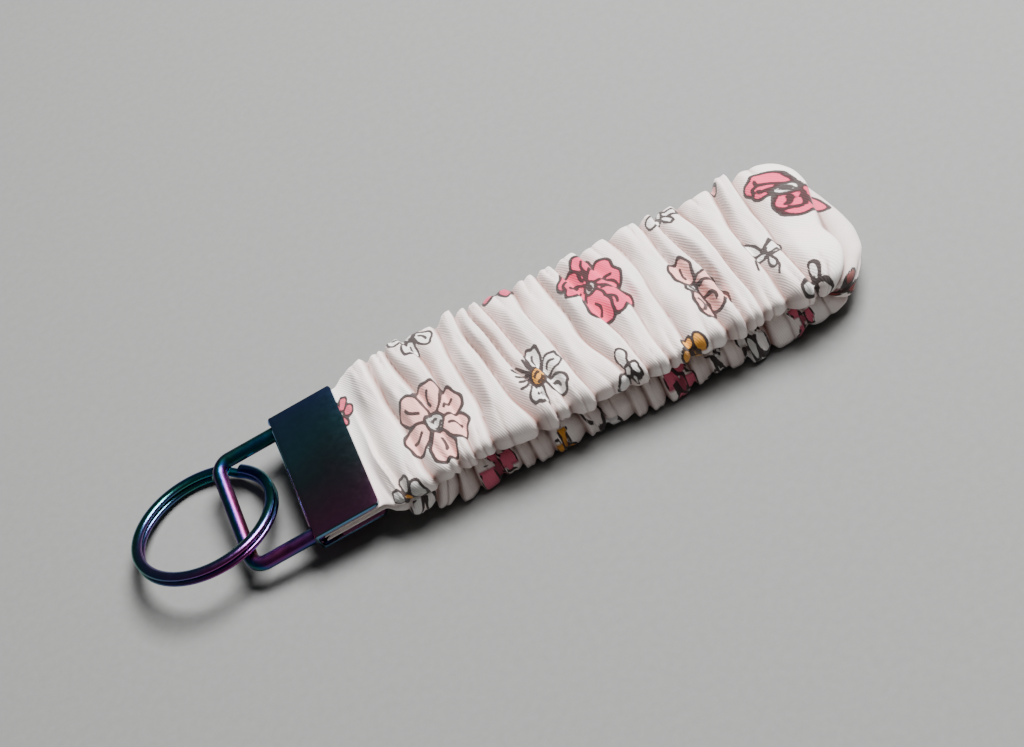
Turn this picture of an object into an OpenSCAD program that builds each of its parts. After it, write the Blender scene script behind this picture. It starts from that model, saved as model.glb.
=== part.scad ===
// Wristlet keychain: a gathered fabric loop over an elastic band, held by a folded
// steel clamp that carries a wire bail and a two-turn split ring.
// +X runs from the clamp to the far end of the loop, +Z is up, units are mm.
// The origin is the middle of the flat underside that the loop rests on.

/* [Clamp] */
// Width of the folded clamp
clamp_w = 26; // [25.5:0.5:30]
// Depth from the fold to the mouth
clamp_d = 12.6; // [12:0.2:15]
// Sheet thickness
sheet_t = 0.7; // [0.6:0.05:0.9]
// Clear height between the jaws
jaw_gap = 3.0; // [3:0.05:3.4]
// Inside radius of the fold
fold_r = 0.6; // [0.4:0.1:0.8]
// Radius of the clamp's corners seen from above
clamp_corner_r = 0.9; // [0.4:0.1:1.4]
// Height of the gripping teeth
tooth_h = 0.3; // [0.1:0.05:0.35]
// Teeth on each jaw
tooth_count = 12; // [4:1:14]

/* [Bail] */
// Wire diameter
wire_d = 2.6; // [2.2:0.1:2.7]
// Distance between the centres of the two legs
bail_w = 22; // [21:0.2:22.4]
// Distance from the pivot to the middle of the bar
bail_reach = 13.5; // [12.5:0.1:15]
// Bend radius of the wire at the bar
bail_bend_r = 2.4; // [2:0.1:3.2]
// Length of each end that turns in behind the fold
bail_end_l = 3.5; // [2:0.5:5]

/* [Split ring] */
// Outside diameter
ring_od = 26.8; // [26.4:0.1:27.2]
// Radial width of the flattened wire
ring_band = 1.9; // [1.4:0.1:2]
// Thickness of one turn
ring_turn_t = 1.2; // [0.9:0.05:1.25]
// Gap between the two turns
ring_split = 0.08; // [0.05:0.01:0.15]

/* [Loop] */
// Width of the gathered sleeve
strap_w = 28.5; // [27.5:0.5:31]
// Length from the clamp's mouth to the far end
strap_len = 89; // [80:1:110]
// Thickness of one gathered layer
layer_t = 3.6; // [3.4:0.1:4.2]
// Clear height inside the loop
loop_gap = 4.3; // [4.2:0.1:6]
// Thickness of the sleeve's wall
sleeve_wall = 0.8; // [0.6:0.05:0.8]
// Width of the elastic band
elastic_w = 24.5; // [22:0.5:25]
// Thickness of the elastic band
elastic_t = 1.3; // [0.8:0.1:1.3]

/* [Rest pose] */
// Height of the middle of the clamp's mouth
mouth_z = 7.2; // [7:0.1:7.6]
// Slope of the clamp, mouth end up
clamp_pitch = 5.2; // [4.5:0.1:6]
// Sideways lean of the clamp, +Y side up
clamp_roll = 4.5; // [4:0.1:5]
// Lean of the split ring, -Y side up
ring_tilt = 15; // [14.5:0.1:16]

/* [Hidden] */
mouth_x = -42;
clamp_h = jaw_gap + 2 * sheet_t;
wire_r = wire_d / 2;
// Pivot of the bail, just behind the fold
pivot_x = -clamp_d + sheet_t + jaw_gap / 2;
// Rounding of the fold's outer edges at both ends
clamp_edge_r = 0.3;
// The teeth sit this far behind the mouth and this far in from both sides
tooth_set_back = 0.4;
tooth_side_gap = 1.5;
tooth_l = 1.2;
tooth_root = 0.1;
// Slots in the fold that let the bail rock, and the metal left around them
slot_play = 0.4;
slot_land = 0.25;
slot_h = clamp_h - 2 * slot_land;
slot_stop = 0.6;
slot_depth = pivot_x + clamp_d - slot_stop;
end_bend_r = 1.5;
// Flattened ends of the strap inside the clamp
stack_t = 2.2;
stack_side_gap = 0.1;
stack_w = clamp_w - 2 * stack_side_gap;
stack_wire_gap = 0.6;
stack_in = clamp_d - sheet_t - jaw_gap / 2 - wire_r - stack_wire_gap;
stack_out = 1.2;
end_elastic_t = 0.5;
end_elastic_z = stack_t / 4;
end_clear = 0.05;
end_elastic_narrow = 0.5;
end_elastic_w = elastic_w - end_elastic_narrow;
// The loop's side profile
loop_h = 2 * layer_t + loop_gap;
mid_z = loop_h / 2;
flare_l = 13;
loop_x0 = mouth_x + flare_l;
tip_x = mouth_x + strap_len;
tip_r = loop_h / 2;
turn_r = loop_gap / 2;
puff_l = 4;
turn_x = tip_x - puff_l - turn_r - layer_t + sleeve_wall;
cavity_side_gap = 0.65;
cavity_w = elastic_w + 2 * cavity_side_gap;
corner_r = 7;
// How far a joint piece runs into its neighbour, and how much its end steps in or out
lap = 0.4;
step_in = 0.04;
// Thickness of the slice that starts or ends a tapered layer
slice_t = 0.1;
thread_d = 0.25;
seam_clear = 0.05;
seam_w = 0.5;
stitch_count = 8;
stitch_pitch = 2.8;
stitch_x = -5;
ring_h = 2 * ring_turn_t + ring_split;
ring_mid_r = ring_od / 2 - ring_band / 2;
// The turns cross over on a ramp, and each wire end stops this many degrees from it
ramp_deg = 22;
ramp_at = 61;
end_gap_deg = 3;
ring_off = [-5.45, 1.8];
ring_z = sin(ring_tilt) * ring_od / 2 + cos(ring_tilt) * ring_h / 2;

$fn = 48;

// Places children given in the clamp's own frame, whose origin is the mouth's middle.
module in_clamp() {
    translate([mouth_x, 0, mouth_z])
        rotate([clamp_roll, -clamp_pitch, 0])
            children();
}

// Rectangle from the origin with all four corners rounded.
module round_rect(size, r) {
    translate([r, 0]) square([size.x - 2 * r, size.y]);
    translate([0, r]) square([size.x, size.y - 2 * r]);
    for (x = [r, size.x - r], y = [r, size.y - r])
        translate([x, y]) circle(r = r);
}

// Side view of the fold: rounded at the fold, square at the mouth.
module fold_outline(depth, height, r) {
    translate([-depth, -height / 2]) round_rect([depth, height], r);
    translate([-depth / 2, -height / 2]) square([depth / 2, height]);
}

module across(width) {
    rotate([90, 0, 0]) linear_extrude(height = width, center = true) children();
}

module clamp_sheet() {
    intersection() {
        across(clamp_w) difference() {
            fold_outline(clamp_d, clamp_h, fold_r + sheet_t);
            translate([lap, 0]) fold_outline(clamp_d - sheet_t + lap, jaw_gap, fold_r);
        }
        translate([-clamp_d, 0, 0]) rotate([90, 0, 90]) linear_extrude(height = clamp_d)
            translate([-clamp_w / 2, -clamp_h / 2]) round_rect([clamp_w, clamp_h], clamp_edge_r);
        translate([-clamp_d, -clamp_w / 2, -clamp_h])
            linear_extrude(height = 2 * clamp_h) round_rect([clamp_d, clamp_w], clamp_corner_r);
    }
}

module bail_slot() {
    slot_r = (wire_d + slot_play) / 2;
    straight = slot_h - 2 * slot_r;
    translate([-clamp_d - 1, 0, 0]) rotate([0, 90, 0]) {
        for (z = [-1, 1])
            translate([z * straight / 2, 0, 0]) cylinder(r = slot_r, h = slot_depth + 1);
        translate([-straight / 2, -slot_r, 0]) cube([straight, 2 * slot_r, slot_depth + 1]);
    }
}

module tooth_row() {
    row_w = clamp_w - 2 * tooth_side_gap;
    pitch = row_w / tooth_count;
    for (i = [0 : tooth_count - 1])
        translate([-tooth_l - tooth_set_back, (i + 0.5) * pitch - row_w / 2, jaw_gap / 2])
            rotate([90, 0, 90]) linear_extrude(height = tooth_l)
                polygon([[-pitch / 3, tooth_root], [pitch / 3, tooth_root], [0, -tooth_h]]);
}

module crimp_clamp() {
    color("#10242b") in_clamp() {
        difference() {
            clamp_sheet();
            for (s = [-1, 1]) translate([0, s * bail_w / 2, 0]) bail_slot();
        }
        tooth_row();
        mirror([0, 0, 1]) tooth_row();
    }
}

// Quarter bend of the wire in the XY plane, from +X to +Y about the origin.
module wire_bend(r) {
    rotate_extrude(angle = 90) translate([r, 0]) circle(d = wire_d);
}

// One half of the bail in the pivot's frame, from the middle of the bar to its end.
module half_bail() {
    leg_y = bail_w / 2;
    leg_l = bail_reach - bail_bend_r - end_bend_r;
    translate([-bail_reach, 0, 0]) rotate([-90, 0, 0])
        cylinder(d = wire_d, h = leg_y - bail_bend_r);
    translate([-bail_reach + bail_bend_r, leg_y - bail_bend_r, 0])
        rotate([0, 0, 90]) wire_bend(bail_bend_r);
    translate([-bail_reach + bail_bend_r, leg_y, 0]) rotate([0, 90, 0])
        cylinder(d = wire_d, h = leg_l);
    translate([-end_bend_r, leg_y - end_bend_r, 0]) wire_bend(end_bend_r);
    translate([0, leg_y - end_bend_r - bail_end_l, 0]) rotate([-90, 0, 0])
        cylinder(d = wire_d, h = bail_end_l);
}

module wire_bail() {
    color("#17384a") in_clamp() translate([pivot_x, 0, 0]) {
        half_bail();
        mirror([0, 1, 0]) half_bail();
    }
}

module ring_arc(angle) {
    rotate_extrude(angle = angle, $fn = 96)
        translate([ring_mid_r, 0]) scale([ring_band / ring_turn_t, 1])
            circle(d = ring_turn_t, $fn = 32);
}

// Two flat turns joined by one short ramp. Both wire ends stop beside the ramp.
module split_coil() {
    step = ring_turn_t + ring_split;
    half = ramp_deg / 2;
    turn_deg = 360 - ramp_deg - end_gap_deg;
    climb = atan(step / (ring_mid_r * (ramp_deg - end_gap_deg) * PI / 180));
    translate([0, 0, -step / 2]) rotate([0, 0, half + end_gap_deg]) ring_arc(turn_deg);
    translate([0, 0, step / 2]) rotate([0, 0, half]) ring_arc(turn_deg);
    translate([ring_mid_r, 0, 0]) rotate([climb, 0, 0]) translate([-ring_mid_r, 0, 0])
        rotate([0, 0, -half]) ring_arc(ramp_deg);
}

module split_ring() {
    bar = [mouth_x + (pivot_x - bail_reach) * cos(clamp_pitch), 0];
    color("#1d4a4f")
        translate([bar.x + ring_off.x, bar.y + ring_off.y, ring_z])
            rotate([-ring_tilt, 0, 0])
                rotate([0, 0, ramp_at]) split_coil();
}

// Side view of a loop that turns at turn_x, between two distances from its middle plane.
module loop_band(inner, outer) {
    difference() {
        union() {
            translate([loop_x0 - lap, mid_z - outer]) square([turn_x - loop_x0 + lap, 2 * outer]);
            translate([turn_x, mid_z]) circle(r = outer);
        }
        translate([loop_x0 - lap - 1, mid_z - inner])
            square([turn_x - loop_x0 + lap + 1, 2 * inner]);
        translate([turn_x, mid_z]) circle(r = inner);
    }
}

// Slab of a flattened end inside the clamp, in the clamp's frame.
module end_slab(width, z, thick, back, front) {
    translate([-back, -width / 2, z - thick / 2]) cube([back + front, width, thick]);
}

// Tapers one layer from its flattened end to the gathered loop; side is 1 above, -1 below.
module flare(side, z_end, t_end, w_end, t_loop, w_loop) {
    z_loop = mid_z + side * (loop_gap + layer_t) / 2;
    hull() {
        in_clamp() translate([stack_out - slice_t, -w_end / 2, side * z_end - t_end / 2])
            cube([slice_t, w_end, t_end]);
        translate([loop_x0 - lap, -w_loop / 2, z_loop - t_loop / 2])
            cube([slice_t, w_loop, t_loop]);
    }
}

module elastic_band() {
    inner = turn_r + (layer_t - elastic_t) / 2;
    color("#ecebe6") {
        across(elastic_w) loop_band(inner, inner + elastic_t);
        for (s = [-1, 1]) {
            in_clamp() end_slab(end_elastic_w, s * end_elastic_z, end_elastic_t, stack_in, stack_out);
            flare(s, end_elastic_z, end_elastic_t - step_in, end_elastic_w - step_in,
                  elastic_t - step_in, elastic_w - step_in);
        }
    }
}

module loop_outside() {
    intersection() {
        across(strap_w) {
            translate([loop_x0 - lap, 0]) square([tip_x - tip_r - loop_x0 + lap, loop_h]);
            translate([tip_x - tip_r, mid_z]) circle(r = tip_r);
        }
        translate([mouth_x, -strap_w / 2, -1])
            linear_extrude(height = loop_h + 2) round_rect([strap_len, strap_w], corner_r);
    }
}

// Space inside the sleeve that the elastic and the seam lie in.
module sleeve_cavity() {
    inner = turn_r + sleeve_wall;
    across(cavity_w) loop_band(inner, turn_r + layer_t - sleeve_wall);
    for (s = [-1, 1]) {
        in_clamp() end_slab(end_elastic_w + 2 * end_clear, s * end_elastic_z,
                            end_elastic_t + 2 * end_clear, stack_in + 1, stack_out);
        flare(s, end_elastic_z, end_elastic_t + end_clear, end_elastic_w + end_clear,
              layer_t - 2 * sleeve_wall - step_in, cavity_w - step_in);
    }
}

module fabric_sleeve() {
    color("#efe6e2") difference() {
        union() {
            loop_outside();
            in_clamp() end_slab(stack_w, 0, stack_t, stack_in, stack_out);
            for (s = [-1, 1])
                flare(s, stack_t / 4, stack_t / 2 + step_in, stack_w + step_in,
                      layer_t - step_in, strap_w - step_in);
        }
        across(strap_w + 2) {
            translate([loop_x0 - lap - 1, mid_z - turn_r])
                square([turn_x - loop_x0 + lap + 1, loop_gap]);
            translate([turn_x, mid_z]) circle(r = turn_r);
        }
        sleeve_cavity();
    }
}

// Chain of thread that closes the sleeve along the side that faces into the loop.
module sleeve_seam() {
    inner = turn_r + sleeve_wall + seam_clear;
    color("#e7d9d4") across(seam_w) loop_band(inner, inner + thread_d);
}

// Running stitch through the flattened ends, hidden between the jaws.
module end_stitching() {
    top = stack_t / 2 + thread_d / 2;
    y0 = -stitch_count * stitch_pitch / 2;
    color("#e7d9d4") in_clamp() translate([stitch_x, 0, 0]) {
        for (i = [0 : stitch_count]) translate([0, y0 + i * stitch_pitch, 0]) {
            cylinder(d = thread_d, h = 2 * top, center = true);
            for (s = [-1, 1]) translate([0, 0, s * top]) sphere(d = thread_d);
        }
        for (i = [0 : stitch_count - 1])
            translate([0, y0 + i * stitch_pitch, (i % 2 == 0 ? 1 : -1) * top])
                rotate([-90, 0, 0]) cylinder(d = thread_d, h = stitch_pitch);
    }
}

crimp_clamp();
wire_bail();
split_ring();
elastic_band();
fabric_sleeve();
sleeve_seam();
end_stitching();
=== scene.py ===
import math

import bpy
import numpy as np
from mathutils import Matrix, Vector


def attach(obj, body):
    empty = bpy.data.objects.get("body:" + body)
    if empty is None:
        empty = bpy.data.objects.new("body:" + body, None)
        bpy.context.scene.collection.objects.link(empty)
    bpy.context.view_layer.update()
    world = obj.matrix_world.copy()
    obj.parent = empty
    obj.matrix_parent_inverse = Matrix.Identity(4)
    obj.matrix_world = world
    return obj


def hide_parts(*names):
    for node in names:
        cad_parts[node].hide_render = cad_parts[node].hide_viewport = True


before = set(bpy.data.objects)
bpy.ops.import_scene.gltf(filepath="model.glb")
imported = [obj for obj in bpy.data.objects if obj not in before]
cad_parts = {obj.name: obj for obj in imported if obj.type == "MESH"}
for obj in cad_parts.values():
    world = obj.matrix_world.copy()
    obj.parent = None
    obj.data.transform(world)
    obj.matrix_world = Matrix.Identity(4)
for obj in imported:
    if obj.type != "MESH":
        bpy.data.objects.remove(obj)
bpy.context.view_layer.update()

# Camera
# A 70 mm lens on a full-frame body, held above the near side of the strap and rolled.
# It comes first, so that everything after it is placed in its view.
camera_data = bpy.data.cameras.new("camera")
camera_data.sensor_width = 36
camera_data.lens = 70.31
camera_data.clip_start = 0.01
camera_data.clip_end = 20
camera = bpy.data.objects.new("camera", camera_data)
bpy.context.scene.collection.objects.link(camera)
bpy.context.scene.camera = camera
camera_elevation = math.radians(51.3)
camera_roll = math.radians(26)
look_back = Vector((0, -math.cos(camera_elevation), math.sin(camera_elevation)))
look_up = Vector((0, math.sin(camera_elevation), math.cos(camera_elevation)))
look_side = Vector((1, 0, 0))
roll_side = look_side * math.cos(camera_roll) - look_up * math.sin(camera_roll)
roll_up = look_side * math.sin(camera_roll) + look_up * math.cos(camera_roll)
aimed_at = Vector((-0.01338, 0.00665, -0.00128))
camera_distance = 0.34602
camera_place = aimed_at + look_back * camera_distance
turned = Matrix((roll_side, roll_up, look_back)).transposed().to_4x4()
camera.matrix_world = Matrix.Translation(camera_place) @ turned

# Elastic band
# A flat woven elastic 24.5 mm wide, folded into a loop with both ends in the clamp.
# It is woven on a narrow loom, so ribs of covered rubber run along it.
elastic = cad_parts["elastic_band"]


def linear(code):
    """An sRGB hex colour as linear RGBA."""
    parts = [int(code[i : i + 2], 16) / 255 for i in (1, 3, 5)]
    return [p / 12.92 if p <= 0.04045 else ((p + 0.055) / 1.055) ** 2.4 for p in parts] + [1]


def add(material, kind, settings=None, **links):
    """One node with its settings. A link's name is the socket's, with _ for a space, or n and
    the socket's number. A colour Mix has its factor on 0, its colours on 6 and 7, and its
    result on 2."""
    made = material.node_tree.nodes.new("ShaderNode" + kind)
    for name, value in (settings or {}).items():
        if name == "stops":
            ramp = made.color_ramp
            while len(ramp.elements) < len(value):
                ramp.elements.new(0.5)
            for element, (place, code) in zip(ramp.elements, value):
                element.position = place
                element.color = linear(code)
        else:
            setattr(made, name, value)
    for name, value in links.items():
        key = int(name[1:]) if name[0] == "n" and name[1:].isdigit() else name.replace("_", " ")
        socket = made.inputs[key]
        if isinstance(value, bpy.types.NodeSocket):
            material.node_tree.links.new(value, socket)
        else:
            socket.default_value = value
    return made


def new_material(name, **settings):
    """A material with one Principled shader and these values on its sockets."""
    material = bpy.data.materials.new(name)
    material.use_nodes = True
    shader = material.node_tree.nodes["Principled BSDF"]
    for key, value in settings.items():
        shader.inputs[key.replace("_", " ")].default_value = value
    return material, shader


def dress(piece, material):
    """Puts one material on every face of a piece."""
    if not piece.material_slots:
        piece.data.materials.append(material)
    for spot in piece.material_slots:
        spot.material = material


# Woven elastic: polyester over rubber cords 1.1 mm apart, matt, with picks across it.
# A Wave node at a scale of 1 repeats every tau / 20, so that over a pitch is its scale.
wave_unit = math.tau / 20
in_mm = (1000, 1000, 1000)
rib_pitch, pick_pitch = 1.1, 0.5
woven_elastic, shader = new_material("woven_elastic", Roughness=0.85, Sheen_Weight=0.2)
place = add(woven_elastic, "TexCoord")
across = add(woven_elastic, "Mapping", Vector=place.outputs["Object"], Scale=in_mm)
ribs = add(woven_elastic, "TexWave", {"bands_direction": "Y"}, Vector=across.outputs[0],
           Scale=wave_unit / rib_pitch, Distortion=0.15)
picks = add(woven_elastic, "TexWave", {"bands_direction": "X"}, Vector=across.outputs[0],
            Scale=wave_unit / pick_pitch, Distortion=0.3)
weave = add(woven_elastic, "Math", {"operation": "MULTIPLY_ADD"}, n0=picks.outputs["Fac"],
            n1=0.35, n2=ribs.outputs["Fac"])
colour = add(woven_elastic, "ValToRGB", {"stops": [(0.1, "#b9b3aa"), (0.9, "#ece8e1")]},
             Fac=weave.outputs[0])
relief = add(woven_elastic, "Bump", Height=weave.outputs[0], Strength=0.6, Distance=0.0002)
woven_elastic.node_tree.links.new(colour.outputs[0], shader.inputs["Base Color"])
woven_elastic.node_tree.links.new(relief.outputs[0], shader.inputs["Normal"])
dress(elastic, woven_elastic)

# Fabric sleeve
# A tube of printed cotton twill drawn over the elastic, cut much longer than it, so the
# elastic gathers it into ridges and valleys across the strap. Its ends are in the clamp.
rng = np.random.default_rng(11)
# Millimetres are used until the mesh is made. First the middle of the clamp's mouth and how
# the clamp lies, then the loop: its mid height, each layer's distance from that, where the
# far turn starts and where the layers part. Last, how each end lies between the jaws.
mouth_x, mouth_z = -42.0, 7.2
clamp_pitch, clamp_roll = math.radians(5.2), math.radians(4.5)
loop_mid_z, layer_r = 5.75, 3.95
turn_x, flare_x = 38.05, -29.0
tucked_in, slab_out, slab_z = 8.3, 1.2, 0.55


def in_clamp(x, z):
    """A point of the clamp's own frame, in its middle plane, as x and z of the part."""
    c, s = math.cos(clamp_pitch), math.sin(clamp_pitch)
    return mouth_x + c * x - s * z, mouth_z + s * x + c * z


bend = np.linspace(math.pi / 2, -math.pi / 2, 40)
route = np.array(
    [in_clamp(-tucked_in, slab_z), in_clamp(slab_out, slab_z), (flare_x, loop_mid_z + layer_r)]
    + [(turn_x + layer_r * math.cos(a), loop_mid_z + layer_r * math.sin(a)) for a in bend]
    + [(flare_x, loop_mid_z - layer_r), in_clamp(slab_out, -slab_z)]
    + [in_clamp(-tucked_in, -slab_z)]
)
length = np.concatenate([[0], np.cumsum(np.linalg.norm(np.diff(route, axis=0), axis=1))])
fine = np.linspace(0, length[-1], 4001)
line = np.stack([np.interp(fine, length, route[:, k]) for k in (0, 1)], axis=1)
# The route's corners are eased by a running mean weighted over about 0.9 mm.
ease, ease_steps = 0.9, 60
kernel = np.exp(-0.5 * (np.arange(-ease_steps, ease_steps + 1) * (fine[1] / ease)) ** 2)
kernel /= kernel.sum()
ends = np.pad(line, ((ease_steps, ease_steps), (0, 0)), mode="reflect", reflect_type="odd")
line = np.stack([np.convolve(ends[:, k], kernel, "valid") for k in (0, 1)], axis=1)

along_count, around_outer, around_inner = 640, 92, 40
run = np.linspace(0, length[-1], along_count)
middle = np.stack([np.interp(run, fine, line[:, k]) for k in (0, 1)], axis=1)
heading = np.gradient(middle, run, axis=0)
heading /= np.linalg.norm(heading, axis=1, keepdims=True)
outward = np.stack([-heading[:, 1], heading[:, 0]], axis=1)
half_run = length[-1] / 2
from_mouth = np.minimum(run, length[-1] - run) - tucked_in
is_top = run < half_run


def smooth(x, low, high):
    """0 below low, 1 above high and an even curve between."""
    t = np.clip((x - low) / (high - low), 0, 1)
    return t * t * (3 - 2 * t)


# The section is a flat rounded tube. It is thin in the jaws and puffs up past the mouth.
# A higher power makes its corners squarer, and the side that faces into the loop is flatter.
strap_half, jaw_half = 13.6, 12.8
pressed_half = 0.5
power, inner_power = 3.0, 4.2
opened = smooth(from_mouth, 0.2, 7.0)
half_w = jaw_half + (strap_half + 0.3 - jaw_half) * smooth(from_mouth, 0.1, 2.2)
for wavelength, sway in ((61, 0.16), (23, 0.13), (13, 0.1)):
    half_w = half_w + sway * opened * np.sin(math.tau * run / wavelength + rng.uniform(0, 6))
half_out = pressed_half + np.where(is_top, 0.95, 0.75) * opened
half_in = pressed_half + np.where(is_top, 2.3, 2.4) * opened


def section(count):
    """Angles spaced evenly round the half tube, from one edge to the other."""
    a = np.linspace(0, math.pi, 2001)
    y = strap_half * np.sign(np.cos(a)) * np.abs(np.cos(a)) ** (2 / power)
    n = 2.2 * np.abs(np.sin(a)) ** (2 / power)
    d = np.concatenate([[0], np.cumsum(np.hypot(np.diff(y), np.diff(n)))])
    return np.interp(np.linspace(0, d[-1], count + 1)[:-1], d, a), d[-1]


outer_angles, half_round = section(around_outer)
inner_angles, _ = section(around_inner)
angle = np.concatenate([outer_angles, inner_angles + math.pi])
around_count = len(angle)
outer_part = np.linspace(1, 0, around_outer + 1)[:-1]
inner_part = np.linspace(0, -1, around_inner + 1)[:-1]
half_turns = np.concatenate([outer_part, inner_part])
# Cloth measured across the strap from the middle of the outer face, positive towards the
# far edge.
cloth_t = (half_turns - 0.5) * half_round

S, A = np.meshgrid(run, angle, indexing="ij")
ca, sa = np.cos(A), np.sin(A)
round_to = np.where(sa > 0, power, inner_power)
depth = np.where(sa > 0, half_out[:, None], half_in[:, None])
Y = half_w[:, None] * np.sign(ca) * np.abs(ca) ** (2 / round_to)
N = depth * np.sign(sa) * np.abs(sa) ** (2 / round_to)
# The tube's own outward direction in its section.
ny = np.sign(ca) * np.abs(ca) ** (2 - 2 / power) / half_w[:, None]
nn = np.sign(sa) * np.abs(sa) ** (2 - 2 / power) / depth
norm = np.hypot(ny, nn) + 1e-12
ny, nn = ny / norm, nn / norm

# Gathers: valleys 2.7 to 5.6 mm apart, up to 2.6 mm more on the far turn, a little aslant.
valleys = [-6.0]
while valleys[-1] < length[-1] + 12:
    near_turn = math.exp(-(((valleys[-1] - half_run) / 13) ** 2))
    valleys.append(valleys[-1] + rng.uniform(2.7, 5.6) + 2.6 * near_turn)
valleys = np.array(valleys)
ridge_count = len(valleys) + 2
slant = 0.16 + 0.08 * np.sin(math.tau * run / 47 + 1.1) + 0.07 * np.sin(math.tau * run / 17)
slant = np.where(is_top, slant, -0.4 * slant) * smooth(np.abs(run - half_run), 2, 16)
aslant = S + slant[:, None] * Y
aslant += 0.45 * np.sin(math.tau * (Y / 41 + S / 39) + 0.7)
aslant += 0.2 * np.sin(math.tau * (Y / 19 - S / 13) + 2.1)
aslant += 0.06 * np.sin(math.tau * (Y / 7 + S / 5) + 4.2)
phase = np.interp(aslant, valleys, np.arange(len(valleys)))
ridge = np.floor(phase).astype(int)
part = phase - ridge
lean = rng.uniform(0.95, 1.35, ridge_count)[ridge]
tall = rng.uniform(0.55, 1.25, ridge_count)[ridge]
swell = rng.uniform(14, 34, ridge_count)[ridge]
shift = rng.uniform(0, math.tau, ridge_count)[ridge]
fork = rng.uniform(0.7, 1.5, ridge_count)[ridge]
far_fork = rng.uniform(0.1, 1.1, ridge_count)[ridge]
near_fork = rng.uniform(0.1, 1.1, ridge_count)[ridge]
# Each ridge rises slowly from its valley and drops quickly into the next.
leaned = part**lean
crest = smooth(leaned, -0.1, 0.45) * (1 - smooth(leaned, 0.83, 1.02))
crest = (crest - 0.09 * (1 - leaned)) / 0.95
full = 2.15 * opened[:, None] * tall * (1 + 0.3 * np.sin(math.tau * Y / swell + shift))
full *= 1 - 0.2 * np.exp(-(((S - half_run) / 9) ** 2))
full *= np.where(sa > 0, 1.0, 0.6) * np.where(is_top[:, None] | (sa < 0.3), 1.0, 0.45)
lift = full * crest
# Nearer the edges each ridge forks into tighter pleats.
edge = smooth(np.abs(Y) / strap_half, 0.5, 0.97)
forked = np.abs(np.sin(math.tau * part**fork)) ** 0.85
side_fork = np.where(Y > 0, far_fork, near_fork)
lift += 0.72 * opened[:, None] * edge * side_fork * (forked - crest)
# Slack cloth: broad diagonal drags and fine crumples.
for _ in range(7):
    wavelength, turn = rng.uniform(7, 16), rng.uniform(0.5, 1.3) * rng.choice([-1, 1])
    wave = math.tau * (S * math.cos(turn) + Y * math.sin(turn)) / wavelength
    lift += 0.075 * opened[:, None] * np.sin(wave + rng.uniform(0, 6))
for _ in range(9):
    wavelength, turn = rng.uniform(1.7, 3.6), rng.uniform(-0.5, 0.5)
    wave = math.tau * (S * math.cos(turn) + Y * math.sin(turn)) / wavelength
    patch = math.tau * (S / rng.uniform(9, 20) + Y / rng.uniform(9, 24)) + rng.uniform(0, 6)
    mask = 0.5 + 0.5 * np.sin(patch)
    lift += 0.03 * opened[:, None] * mask**2 * np.sin(wave + rng.uniform(0, 6))
# Painted shade: in a valley the cloth is painted darker and pinker, most at its bottom, and this
# fades up the slow side of the next ridge. It is deeper where the ridges stand taller.
spacing = np.diff(valleys)[np.clip(ridge, 0, len(valleys) - 2)]
valley_gap = np.minimum(part, 1 - part) * spacing
after = part * spacing
painted_valley_shade = np.maximum(0.85 * np.exp(-after / 1.1), np.exp(-((valley_gap / 0.4) ** 2)))
painted_valley_shade = painted_valley_shade * opened[:, None] * np.clip(0.2 + full / 1.8, 0, 1)
# Painted shade also in the narrow folds where the pleats fork near the edges.
painted_valley_shade = np.maximum(painted_valley_shade, 0.6 * edge * np.exp(-((forked / 0.3) ** 2)) * opened[:, None])

# How far the edges hang into the loop, how far the cut edges reach beside the wire, and the
# height below which the cloth is pressed flat on the table.
edge_hang, cut_reach, pressed_z = 0.9, 2.5, 0.6


def placed(lift):
    """Where the cloth lies when it stands this far out from the plain tube."""
    y = Y + 0.5 * ny * lift
    n = N + nn * lift
    x = middle[:, 0][:, None] + outward[:, 0][:, None] * n
    z = middle[:, 1][:, None] + outward[:, 1][:, None] * n
    # Both layers hang a little into the loop along their edges, so it looks nearly closed.
    inner_side = np.where(sa < 0, np.sqrt(np.abs(sa)), 0)
    hang = edge_hang * smooth(np.abs(y), 8.5, 13.0) * inner_side * opened[:, None]
    x = x - outward[:, 0][:, None] * hang
    z = z - outward[:, 1][:, None] * hang
    # The strap leaves the clamp rolled a little, and lies level by the loop.
    rolled = clamp_roll * (1 - smooth(from_mouth, 0, 16))[:, None]
    z = z + np.sin(rolled) * y
    y = np.cos(rolled) * y - np.sin(rolled) * n * outward[:, 1][:, None]
    # The far turn puffs out beyond the elastic, most in its middle, which rounds its corners.
    puff = 0.86 + 0.7 * np.clip(1 - (np.abs(y) / 14.4) ** 4, 0, 1) ** 0.8
    x = np.where(x > turn_x, turn_x + (x - turn_x) * puff, x)
    # Beside the wire's ends the cut edges reach nearly to the fold.
    beside = smooth(np.abs(y), 12.32, 12.45) * smooth(-from_mouth, 4.5, 8.3)[:, None]
    x = x - cut_reach * math.cos(clamp_pitch) * beside
    z = z - cut_reach * math.sin(clamp_pitch) * beside
    # Nothing goes below the table: the lowest cloth stops 0.03 mm above it.
    soft = pressed_z - 0.03
    z = np.where(z < pressed_z, pressed_z - soft + soft * np.exp((z - pressed_z) / soft), z)
    return np.stack([x, y, z], axis=2)


cloth = placed(lift)

# The cloth's own flat place: more of it is used up in each valley than on a ridge.
used_up = 1.1
cloth_s = S + used_up * (phase + 0.9 * np.sin(math.tau * phase) / math.tau)
cloth_t = np.broadcast_to(cloth_t, S.shape)

# Print: flowers and bows in flat colours with a dark hand-drawn outline. Each point keeps its
# distance from the nearest pen stroke, at most no_pen, and the colour printed on it.
no_pen = 9.0
motif_reach = 12
ink = np.full(S.shape, no_pen)
tint = np.zeros(S.shape + (4,))


def find(x, t, layer):
    """Where a place on one layer of the strap is on the flat cloth."""
    on = is_top if layer == "top" else ~is_top
    far = (np.abs(cloth[:, :, 0] - x) + np.abs(cloth_t - t))[on]
    i, j = np.unravel_index(np.argmin(far), far.shape)
    return cloth_s[on][i, j], cloth_t[on][i, j]


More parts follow.
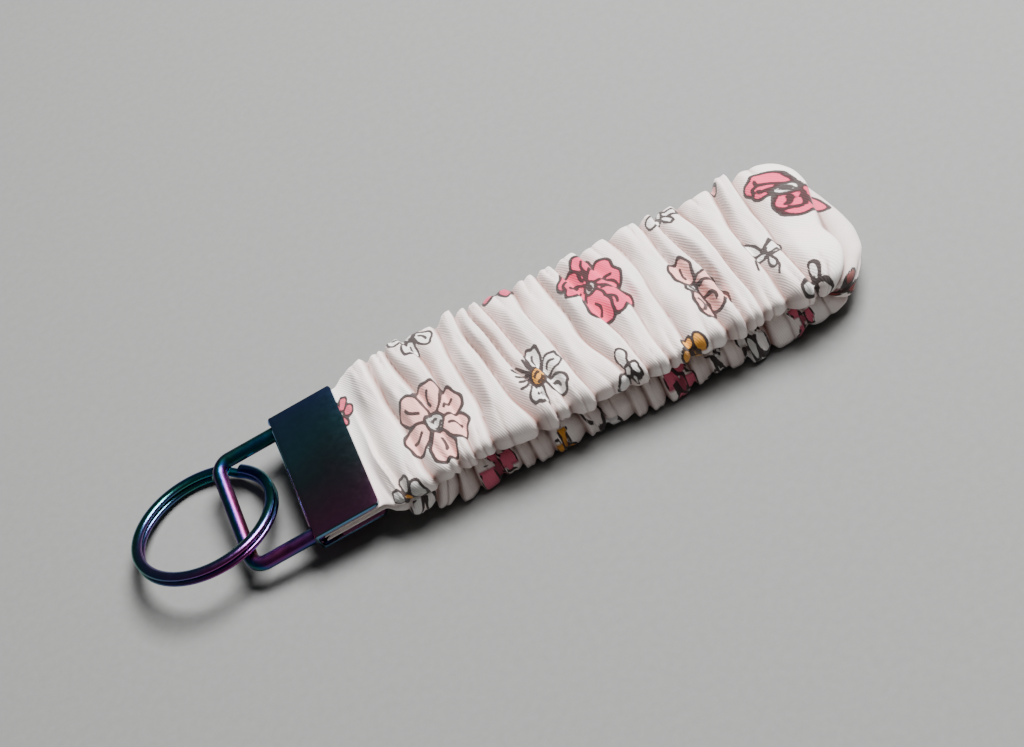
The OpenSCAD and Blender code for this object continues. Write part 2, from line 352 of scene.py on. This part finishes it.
def petal(reach, width, direction, start=0.0, notch=0.0, bow=0.0, pointed=0.5):
    """A closed petal or ribbon loop that leaves the middle of a motif in one direction."""
    a = np.linspace(0, math.tau, 37)[:-1]
    out = 0.5 - 0.5 * np.cos(a)
    side = np.sin(a) * (1 - pointed + pointed * out)
    out = out - notch * np.exp(-((side / 0.35) ** 2)) * (out > 0.5)
    out, side = start + (reach - start) * out, width * side + bow * out**2
    c, s = math.cos(direction), math.sin(direction)
    return np.stack([c * out - s * side, s * out + c * side], axis=1)


def vein(reach, direction, start, bow=0.0):
    """A short curved pen stroke along a petal."""
    out = np.linspace(start, reach, 7)
    side = bow * (out - start) * (reach - out) * 4 / (reach - start + 1e-9) ** 2
    c, s = math.cos(direction), math.sin(direction)
    return np.stack([c * out - s * side, s * out + c * side], axis=1)


def to_strokes(points, stroke):
    """How far points are from a run of pen strokes."""
    best = np.full(len(points), no_pen)
    for p, q in zip(stroke[:-1], stroke[1:]):
        d = q - p
        t = np.clip(((points - p) @ d) / max(d @ d, 1e-9), 0, 1)
        best = np.minimum(best, np.hypot(*(points - p - t[:, None] * d).T))
    return best


def inside(points, outline):
    """Which points are inside a closed outline."""
    hit = np.zeros(len(points), bool)
    for p, q in zip(outline, np.roll(outline, -1, axis=0)):
        if p[1] != q[1]:
            crosses = (p[1] > points[:, 1]) != (q[1] > points[:, 1])
            slope = (q[0] - p[0]) / (q[1] - p[1])
            hit ^= crosses & (points[:, 0] < p[0] + (points[:, 1] - p[1]) * slope)
    return hit


def stamp(x, t, turn, shapes, pens=(), layer="top", nib=1.0):
    """Prints one motif: shapes with their fills, each over the last, then bare pen strokes."""
    s0, t0 = find(x, t, layer)
    c, s = math.cos(turn), math.sin(turn)
    ds, dt = cloth_s - s0, (cloth_t - t0 + half_round) % (2 * half_round) - half_round
    near = np.hypot(ds, dt) < motif_reach
    points = np.stack([c * ds[near] + s * dt[near], -s * ds[near] + c * dt[near]], axis=1)
    # The pen's line wobbles by a tenth of a millimetre.
    points = points + 0.1 * np.sin(points[:, ::-1] * 2.3 + s0)
    drawn, filled = ink[near], tint[near]
    for outline, code in shapes:
        gap = to_strokes(points, np.concatenate([outline, outline[:1]])) / nib
        within = inside(points, outline)
        drawn = np.where(within, gap, np.minimum(drawn, gap))
        filled[within] = linear(code)
    for stroke in pens:
        drawn = np.minimum(drawn, to_strokes(points, stroke) / nib)
    ink[near], tint[near] = drawn, filled


pale, hot, deep, blush, rose = "#f2b3ab", "#e5456a", "#c24a66", "#f0a9a6", "#d8627c"
white, grey, amber, wine = "#efeae7", "#c9c6c2", "#e39a33", "#8f3348"
big_motif = 5


def flower(x, t, size, aims, fill, centre, layer="top", notch=0.08, width=0.3, nib=1.0,
           dashes=()):
    """A flower with a petal at each aim in degrees, pen dashes at others, and a button centre."""
    shapes, pens = [], []
    for k, degrees in enumerate(aims):
        a = math.radians(degrees)
        reach = size * (1 + 0.07 * math.sin(3 * k + x))
        shapes.append((petal(reach, 1.3 * size * width, a, 0.16 * size, notch), fill))
        if size > big_motif:
            pens.append(vein(0.74 * reach, a, 0.42 * reach, 0.05 * size))
    for degrees in dashes:
        a = math.radians(degrees)
        pens.append(vein(size * (0.72 + 0.1 * math.sin(degrees)), a, 0.3 * size, 0.04 * size))
    button = petal(0.24 * size, 0.24 * size, 0, -0.24 * size, pointed=0)
    marks = [0.4 * button[2:14], 0.6 * button[20:30]] if size > big_motif else []
    stamp(x, t, 0, shapes + [(button, centre)], pens + marks, layer, nib)


def evenly(count, first=0.0):
    """Aims for this many petals, spread evenly with a little unevenness."""
    return [first + 360 * k / count + 7 * math.sin(5 * k + first) for k in range(count)]


def bow(x, t, size, fill, turn=0.0, layer="top", knot=grey, tails=0.9, nib=1.0):
    """A ribbon bow: two loops, two tails cut with a notch, and a knot."""
    shapes = [
        (petal(tails * size, 0.2 * size, -1.95, 0, 0.16), fill),
        (petal(1.1 * tails * size, 0.22 * size, -1.2, 0, 0.16), fill),
        (petal(size, 0.36 * size, 2.75, 0.05 * size, 0.03), fill),
        (petal(0.95 * size, 0.34 * size, 0.42, 0.05 * size, 0.03), fill),
        (petal(0.2 * size, 0.16 * size, 0.3, -0.2 * size, pointed=0), knot),
    ]
    pens = []
    if size > big_motif:
        pens.append(vein(0.65 * size, 2.8, 0.35 * size, 0.06 * size))
        pens.append(vein(0.7 * size, 0.4, 0.3 * size, -0.05 * size))
        pens.append(vein(0.65 * size, -1.2, 0.35 * size, 0.04 * size))
    stamp(x, t, turn, shapes, pens, layer, nib)


def ribbon_bloom(x, t, fill, centre, ribbons, layer="top"):
    """A bloom of ribbon loops: for each, its direction in degrees, its reach and its width."""
    shapes, pens = [], []
    for degrees, reach, width in ribbons:
        a = math.radians(degrees)
        shapes.append((petal(reach, 1.25 * width * reach, a, 0, 0.1, 0.08 * reach, 0.4), fill))
        pens.append(vein(0.72 * reach, a, 0.4 * reach, 0.06 * reach))
    shapes.append((petal(1.2, 1.15, 0.4, -1.2, pointed=0), centre))
    pens.append(0.4 * petal(1.2, 0.5, 1.9, -0.9, pointed=0))
    stamp(x, t, 0, shapes, pens, layer, 1.2)


def line_bow(x, t, size, turn=0.0, layer="top"):
    """A small bow drawn with the pen alone."""
    loops = [petal(size, 0.26 * size, 2.5, 0, 0), petal(0.9 * size, 0.3 * size, 0.6, 0, 0)]
    pens = [vein(1.15 * size, -1.15, 0, 0.22 * size), vein(0.9 * size, -2.1, 0, -0.18 * size)]
    pens += [vein(0.3 * size, 0.9, -0.25 * size, 0.04 * size)]
    stamp(x, t, turn, [(loop, white) for loop in loops], pens, layer)


# The top layer, from the clamp to the far turn: the large motifs, then the small ones.
flower(-28.1, -5.6, 7.8, evenly(6, 20), pale, grey, width=0.33, nib=1.2)
flower(-9.6, -6.8, 6.6, [74, 18, -42, -118], white, amber, width=0.24, notch=0.1, nib=1.1,
       dashes=[106, 128, 146, 163, 180, 198])
ribbon_bloom(4.6, 5.0, hot, "#b9aaa5",
             [(100, 5.6, 0.34), (79, 7.4, 0.28), (140, 6.6, 0.44), (172, 5.6, 0.36),
              (14, 7.4, 0.46), (-30, 5.6, 0.4), (-62, 9.2, 0.3), (-98, 8.4, 0.3)])
ribbon_bloom(19.6, -4.2, pale, grey,
             [(88, 6.8, 0.32), (-18, 5.2, 0.36), (-56, 8.2, 0.3), (-92, 7.6, 0.15)])
line_bow(32.3, -4.8, 4.6, turn=-0.3)
line_bow(33.0, -5.4, 3.0, turn=2.2)
ribbon_bloom(42.0, 5.6, hot, white,
             [(122, 5.8, 0.42), (150, 4.2, 0.3), (-72, 6.2, 0.46), (-100, 4.4, 0.3)])
flower(14.6, -14.6, 2.8, evenly(4, 20), amber, "#4a2c1c", width=0.42, nib=0.9)
bow(3.6, -13.2, 4.2, white, turn=1.1, knot=white, tails=0.55, nib=0.9)
flower(-26.5, 13.6, 5.4, evenly(5, 35), white, grey, width=0.26)
flower(-9.6, 14.0, 3.6, evenly(3, 200), deep, "#7d2f40", width=0.36)
bow(20.8, 13.0, 4.2, white, turn=0.9, knot=white)
bow(30.6, 14.6, 3.0, blush, turn=2.4, knot=white)
flower(-42.6, 7.4, 3.2, evenly(5, 50), "#cf5668", grey, width=0.34)
flower(-37.4, -14.4, 3.8, evenly(5, 12), grey, amber)
line_bow(37.5, -13.6, 3.4, turn=0.7)
flower(42.0, -14.4, 2.6, evenly(4, 40), "#8a3b34", "#2e1d1c", width=0.34, nib=0.8)
# Little of the lower layer's print shows: what reaches its near edge.
flower(-34.5, -16.0, 3.4, evenly(4, 40), white, "#7a5a4a", layer="bottom", nib=0.8)
flower(-22.0, -15.0, 4.4, evenly(4, 15), rose, wine, layer="bottom", width=0.34, nib=0.7)
flower(-10.4, -14.8, 2.0, evenly(3, 10), amber, "#b06f20", layer="bottom", width=0.42, nib=0.7)
line_bow(-3.4, -14.6, 3.8, turn=0.5, layer="bottom")
flower(11.2, -15.2, 3.6, evenly(4, -20), rose, wine, layer="bottom", width=0.36, nib=0.7)
line_bow(17.5, -15.0, 2.8, turn=1.5, layer="bottom")
flower(24.0, -15.0, 3.8, evenly(5, 40), white, grey, layer="bottom", nib=0.8)
flower(33.5, -15.4, 2.8, evenly(3, 60), rose, wine, layer="bottom", width=0.36, nib=0.7)
# The underside and the sides that face into the loop carry the same print.
flower(-27.0, 3.0, 7.0, evenly(6, 45), pale, grey, layer="bottom", width=0.33, nib=1.2)
bow(-12.0, 0.0, 6.6, hot, turn=0.5, layer="bottom", knot=grey, nib=1.2)
flower(2.0, 5.0, 6.2, evenly(7, 20), white, amber, layer="bottom", width=0.22)
bow(15.0, -3.0, 7.4, pale, turn=0.2, layer="bottom", knot=grey, nib=1.2)
line_bow(26.0, 6.0, 4.6, turn=-0.4, layer="bottom")
flower(36.0, 0.0, 5.6, evenly(5, 0), hot, white, layer="bottom", width=0.34, nib=1.1)
for k, tone in enumerate((hot, white, pale, white, hot)):
    for one_layer in ("top", "bottom"):
        bow(16.0 * k - 30.0, -29.2 + 5.0 * (-1) ** k, 5.6, tone, turn=0.9 * k, layer=one_layer)

# The cloth is 0.35 mm thick. Its hidden inner face is a coarser net that passes under the
# valleys, joined to the outer face at both ends.
cloth_thick = 0.35
step_along, step_round = 2, 4
under = lift
for k in range(1, step_along + 1):
    ahead, behind = np.roll(lift, -k, axis=0), np.roll(lift, k, axis=0)
    ahead[-k:], behind[:k] = lift[-1], lift[0]
    under = np.minimum(under, np.minimum(ahead, behind))
narrow = under
for k in range(1, step_round + 1):
    under = np.minimum(under, np.minimum(np.roll(narrow, k, axis=1), np.roll(narrow, -k, axis=1)))
grid = cloth.reshape(-1, 3)
rows_in = np.unique(np.append(np.arange(0, along_count, step_along), along_count - 1))
cols_in = np.arange(0, around_count, step_round)
inset = np.where(from_mouth < 1, 0.2, cloth_thick)[:, None]
lining = placed(under - inset)[np.ix_(rows_in, cols_in)]
faces = []
for i in range(along_count - 1):
    for j in range(around_count):
        k = (j + 1) % around_count
        faces.append((i * around_count + j, (i + 1) * around_count + j,
                      (i + 1) * around_count + k, i * around_count + k))
base = len(grid)
wide_in = len(cols_in)
for i in range(len(rows_in) - 1):
    for j in range(wide_in):
        k = (j + 1) % wide_in
        faces.append((base + i * wide_in + j, base + i * wide_in + k,
                      base + (i + 1) * wide_in + k, base + (i + 1) * wide_in + j))
for row, row_in, turn_round in ((0, 0, False), (along_count - 1, len(rows_in) - 1, True)):
    for j in range(wide_in):
        k = (j + 1) % wide_in
        stop = cols_in[k] if k else around_count
        rim = [row * around_count + c % around_count for c in range(cols_in[j], stop + 1)]
        face = [base + row_in * wide_in + j] + rim + [base + row_in * wide_in + k]
        faces.append(tuple(reversed(face)) if turn_round else tuple(face))
sleeve_mesh = bpy.data.meshes.new("gathered_sleeve")
points = np.concatenate([grid, lining.reshape(-1, 3)]) * 0.001
sleeve_mesh.from_pydata(points.tolist(), [], faces)
sleeve_mesh.update()
for polygon in sleeve_mesh.polygons:
    polygon.use_smooth = True
flat_place = np.zeros((len(points), 2))
flat_place[: len(grid), 0], flat_place[: len(grid), 1] = cloth_s.ravel(), cloth_t.ravel()
flat_place[len(grid) :, 0] = cloth_s[np.ix_(rows_in, cols_in)].ravel()
flat_place[len(grid) :, 1] = cloth_t[np.ix_(rows_in, cols_in)].ravel()
corner_of = np.zeros(len(sleeve_mesh.loops), np.int64)
sleeve_mesh.loops.foreach_get("vertex_index", corner_of)
corner_place = flat_place[corner_of]
# The seam is where the tube's net closes, so its last column of faces ends at the far side.
first = np.zeros(len(sleeve_mesh.polygons), np.int64)
sleeve_mesh.polygons.foreach_get("loop_start", first)
count = np.zeros(len(sleeve_mesh.polygons), np.int64)
sleeve_mesh.polygons.foreach_get("loop_total", count)
highest = np.repeat(np.maximum.reduceat(corner_place[:, 1], first), count)
torn = highest - corner_place[:, 1] > half_round
corner_place[torn, 1] += 2 * half_round
flat_map = sleeve_mesh.uv_layers.new(name="flat_cloth")
flat_map.data.foreach_set("uv", corner_place.ravel())


def paint(mesh, name, values, kind="FLOAT"):
    """Keeps one value for each point of the cloth, for its material."""
    layer = mesh.attributes.new(name, kind, "POINT")
    if kind == "FLOAT":
        layer.data.foreach_set("value", values.astype(np.float32))
    else:
        layer.data.foreach_set("color", values.astype(np.float32).ravel())


hidden = np.zeros(len(points) - len(grid))
paint(sleeve_mesh, "pen_gap", np.concatenate([ink.ravel(), hidden + no_pen]))
# The painted shade of the valleys is kept for the material.
paint(sleeve_mesh, "crease", np.concatenate([painted_valley_shade.ravel(), hidden]))
tint_all = np.concatenate([tint.reshape(-1, 4), np.zeros((len(hidden), 4))])
paint(sleeve_mesh, "print_colour", tint_all, "FLOAT_COLOR")
paint(sleeve_mesh, "printed", tint_all[:, 3])
sleeve = bpy.data.objects.new("gathered_sleeve", sleeve_mesh)
bpy.context.scene.collection.objects.link(sleeve)

# Printed cotton twill: blush-white, its diagonal ribs 0.36 mm apart, matt with a soft nap.
# The print sinks into the thread, so its outlines are a little uneven.
twill_pitch = 0.36
cotton, shader = new_material("printed_cotton_twill", Roughness=0.92, Sheen_Weight=0.25,
                              Sheen_Roughness=0.5)
flat = add(cotton, "UVMap", {"uv_map": "flat_cloth"})
twill_turn = add(cotton, "Mapping", Vector=flat.outputs[0], Rotation=(0, 0, math.radians(-33.4)))
ribs = add(cotton, "TexWave", {"bands_direction": "X"}, Vector=twill_turn.outputs[0],
           Scale=wave_unit / twill_pitch, Distortion=0.9, Detail=2.0, Detail_Scale=1.5)
threads = add(cotton, "TexNoise", Vector=flat.outputs[0], Scale=4.0, Detail=4.0, Roughness=0.7)
clouds = add(cotton, "TexNoise", Vector=flat.outputs[0], Scale=0.16, Detail=3.0)
# The first attribute read here is the painted shade of the valleys.
crease = add(cotton, "Attribute", {"attribute_name": "crease"})
pen_gap = add(cotton, "Attribute", {"attribute_name": "pen_gap"})
print_colour = add(cotton, "Attribute", {"attribute_name": "print_colour"})
printed = add(cotton, "Attribute", {"attribute_name": "printed"})
ground = add(cotton, "ValToRGB", {"stops": [(0.3, "#faf2ee"), (0.75, "#f9e9e3")]},
             Fac=clouds.outputs["Fac"])
# Painted shade: the cloth's colour is mixed towards a dark pinkish brown in the valleys.
valley_shaded_colour = add(cotton, "Mix", {"data_type": "RGBA"}, n0=crease.outputs["Fac"], n6=ground.outputs[0],
           n7=linear("#84584e"))
solid = add(cotton, "MapRange", Value=printed.outputs["Fac"], From_Min=0.35, From_Max=0.65)
dyed = add(cotton, "Mix", {"data_type": "RGBA"}, n0=solid.outputs[0], n6=valley_shaded_colour.outputs[2],
           n7=print_colour.outputs["Color"])
uneven = add(cotton, "Math", {"operation": "MULTIPLY_ADD"}, n0=threads.outputs["Fac"], n1=0.22,
             n2=pen_gap.outputs["Fac"])
penned = add(cotton, "MapRange", Value=uneven.outputs[0], From_Min=0.34, From_Max=0.42,
             To_Min=0.97, To_Max=0.0)
drawn_over = add(cotton, "Mix", {"data_type": "RGBA"}, n0=penned.outputs[0], n6=dyed.outputs[2],
                 n7=linear("#241413"))
rib_shade = add(cotton, "MapRange", Value=ribs.outputs["Fac"], To_Min=0.92, To_Max=1.02)
thread_shade = add(cotton, "MapRange", Value=threads.outputs["Fac"], From_Min=0.25,
                   From_Max=0.75, To_Min=0.95, To_Max=1.04)
shade = add(cotton, "Math", {"operation": "MULTIPLY"}, n0=rib_shade.outputs[0],
            n1=thread_shade.outputs[0])
cloth_colour = add(cotton, "Mix", {"data_type": "RGBA", "blend_type": "MULTIPLY"}, n0=1.0,
                   n6=drawn_over.outputs[2], n7=shade.outputs[0])
height = add(cotton, "Math", {"operation": "MULTIPLY_ADD"}, n0=threads.outputs["Fac"], n1=0.7,
             n2=ribs.outputs["Fac"])
relief = add(cotton, "Bump", Height=height.outputs[0], Strength=0.55, Distance=0.00006)
cotton.node_tree.links.new(cloth_colour.outputs[2], shader.inputs["Base Color"])
cotton.node_tree.links.new(relief.outputs[0], shader.inputs["Normal"])
dress(sleeve, cotton)
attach(sleeve, "strap")
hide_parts("fabric_sleeve")

# Sleeve seam and end stitching
# Pink-beige polyester sewing thread. One line closes the sleeve on the inside of the loop,
# and a row through both layers holds the ends together inside the clamp.
# Spun polyester: slightly shiny, with plies 0.12 mm apart that cross it aslant.
ply_pitch = 0.12
thread, shader = new_material("sewing_thread", Roughness=0.6, Sheen_Weight=0.15)
place = add(thread, "TexCoord")
strands = add(thread, "Mapping", Vector=place.outputs["Object"], Rotation=(0.5, 0.3, 0.6),
              Scale=in_mm)
plies = add(thread, "TexWave", Vector=strands.outputs[0], Scale=wave_unit / ply_pitch,
            Distortion=0.4)
colour = add(thread, "ValToRGB", {"stops": [(0.0, "#b08f86"), (1.0, "#e2c6bd")]},
             Fac=plies.outputs["Fac"])
relief = add(thread, "Bump", Height=plies.outputs["Fac"], Strength=0.5, Distance=0.00003)
thread.node_tree.links.new(colour.outputs[0], shader.inputs["Base Color"])
thread.node_tree.links.new(relief.outputs[0], shader.inputs["Normal"])
dress(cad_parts["sleeve_seam"], thread)
dress(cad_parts["end_stitching"], thread)

# Crimp clamp
# A strip of 0.7 mm spring steel folded to a U and pressed on to the strap's ends.
# It is polished, then coated in a vacuum with a rainbow film, so it is a dark mirror.


def plated(name, stops, along, centre, facing, rough, tilt_from=None):
    """Rainbow plating: the film's colour drifts along the metal and with the way it faces.
    along is how far through the run of colours each metre takes it, and facing how far the
    surface's own direction does."""
    material, shader = new_material(name, Metallic=1.0, Roughness=rough)
    place = add(material, "TexCoord")
    from_centre = add(material, "VectorMath", {"operation": "SUBTRACT"},
                      n0=place.outputs["Object"], n1=centre)
    run_on = add(material, "VectorMath", {"operation": "DOT_PRODUCT"},
                 n0=from_centre.outputs[0], n1=along)
    faced = add(material, "VectorMath", {"operation": "DOT_PRODUCT"},
                n0=place.outputs["Normal"], n1=facing)
    shifted = add(material, "Math", {"operation": "ADD"},
                  n0=run_on.outputs["Value"], n1=faced.outputs["Value"])
    drift = add(material, "TexNoise", Vector=place.outputs["Object"], Scale=140.0, Detail=2.0)
    level = add(material, "Math", {"operation": "MULTIPLY_ADD"},
                n0=drift.outputs["Fac"], n1=0.24, n2=0.38)
    film = add(material, "Math", {"operation": "ADD"}, n0=shifted.outputs[0], n1=level.outputs[0])
    colour = add(material, "ValToRGB", {"stops": stops}, Fac=film.outputs[0])
    smears = add(material, "TexNoise", Vector=place.outputs["Object"], Scale=900.0, Detail=4.0)
    gloss = add(material, "MapRange", Value=smears.outputs["Fac"],
                To_Min=rough * 0.7, To_Max=rough * 1.4)
    relief = add(material, "Bump", Height=smears.outputs["Fac"], Strength=0.06, Distance=0.00002)
    material.node_tree.links.new(colour.outputs[0], shader.inputs["Base Color"])
    material.node_tree.links.new(gloss.outputs[0], shader.inputs["Roughness"])
    material.node_tree.links.new(relief.outputs[0], shader.inputs["Normal"])
    if tilt_from is not None:
        # Pressing rounded the sheet a few degrees down over the 9.5 mm before its mouth.
        parts = add(material, "SeparateXYZ", Vector=place.outputs["Object"])
        drop = add(material, "MapRange", Value=parts.outputs["X"],
                   From_Min=tilt_from, From_Max=tilt_from + 0.0095)
        curve = add(material, "Math", {"operation": "POWER"}, n0=drop.outputs[0], n1=2.6)
        rounded = add(material, "Bump", {"invert": True}, Height=curve.outputs[0],
                      Strength=1.0, Distance=0.00075)
        material.node_tree.links.new(rounded.outputs[0], relief.inputs["Normal"])
    return material


film_run = [(0.0, "#a4608e"), (0.15, "#9c5f8c"), (0.32, "#806880"), (0.5, "#64747e"),
            (0.7, "#5a8c9a"), (0.85, "#5c88ac"), (1.0, "#6a80cc")]
clamp_metal = plated("rainbow_plated_clamp", film_run, (0, 33, 0), (-0.048, 0, 0.007),
                     (0, -0.75, 0), 0.12, -0.050)
dress(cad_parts["crimp_clamp"], clamp_metal)

# Wire bail
# One length of 2.6 mm steel wire bent to a U, its turned-in ends held in the clamp's fold.
# It is plated with the clamp. Round wire shows the film's colours in lines along it.
wire_film = [(0.0, "#2a5a60"), (0.3, "#4e3468"), (0.45, "#2e2c62"), (0.56, "#205a54"),
             (0.68, "#22447a"), (0.79, "#662e6c"), (0.88, "#863a5a"), (0.96, "#8a5a34")]
bail_metal = plated("rainbow_plated_wire", wire_film, (2, -7, 0), (-0.060, 0, 0.005),
                    (0.31, -0.1, 0.2), 0.3)
dress(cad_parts["wire_bail"], bail_metal)

# Split ring
# Flattened steel wire coiled twice, hardened and tumbled, then plated with the other metal.
# Its two turns lie on each other, with the groove between them.
ring_film = [(0.0, "#5a3480"), (0.2, "#34489a"), (0.4, "#226a78"), (0.58, "#2f7468"),
             (0.74, "#4a5c90"), (0.9, "#7a4488"), (1.0, "#8e3c7c")]
ring_metal = plated("rainbow_plated_ring", ring_film, (-9, -17, 0), (-0.07, -0.002, 0.003),
                    (0.3, -0.24, 0.16), 0.18)
dress(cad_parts["split_ring"], ring_metal)

# Floor and studio light
# A plain pale table, one 300 mm soft box behind and to the right, and a low even fill.
bpy.ops.object.select_all(action="DESELECT")
bpy.ops.mesh.primitive_plane_add(size=6.0, location=(0, 0, 0))
floor = bpy.context.active_object
floor.name = "floor"
# Matt paint on board: no shine, and a grain of about a millimetre.
table_paint, shader = new_material("matt_pale_table", Roughness=0.9)
place = add(table_paint, "TexCoord")
grain = add(table_paint, "TexNoise", Vector=place.outputs["Object"], Scale=700.0, Detail=3.0)
colour = add(table_paint, "ValToRGB", {"stops": [(0.3, "#787877"), (0.7, "#7c7c7b")]},
             Fac=grain.outputs["Fac"])
table_paint.node_tree.links.new(colour.outputs[0], shader.inputs["Base Color"])
dress(floor, table_paint)


def soft_light(name, place, aim, size, power):
    """A square soft box at a place, turned to its aim."""
    data = bpy.data.lights.new(name, "AREA")
    data.shape = "SQUARE"
    data.size = size
    data.energy = power
    lamp = bpy.data.objects.new(name, data)
    bpy.context.scene.collection.objects.link(lamp)
    lamp.location = place
    lamp.rotation_mode = "QUATERNION"
    lamp.rotation_quaternion = (Vector(aim) - Vector(place)).to_track_quat("-Z", "Y")


soft_light("key_light", (0.22, 0.17, 0.5), (0.0, 0, 0), 0.3, 12.6)
fill = 0.075
world = bpy.data.worlds.new("studio")
bpy.context.scene.world = world
world.use_nodes = True
background = world.node_tree.nodes["Background"]
background.inputs["Color"].default_value = (fill, fill, fill, 1)
background.inputs["Strength"].default_value = 1.0
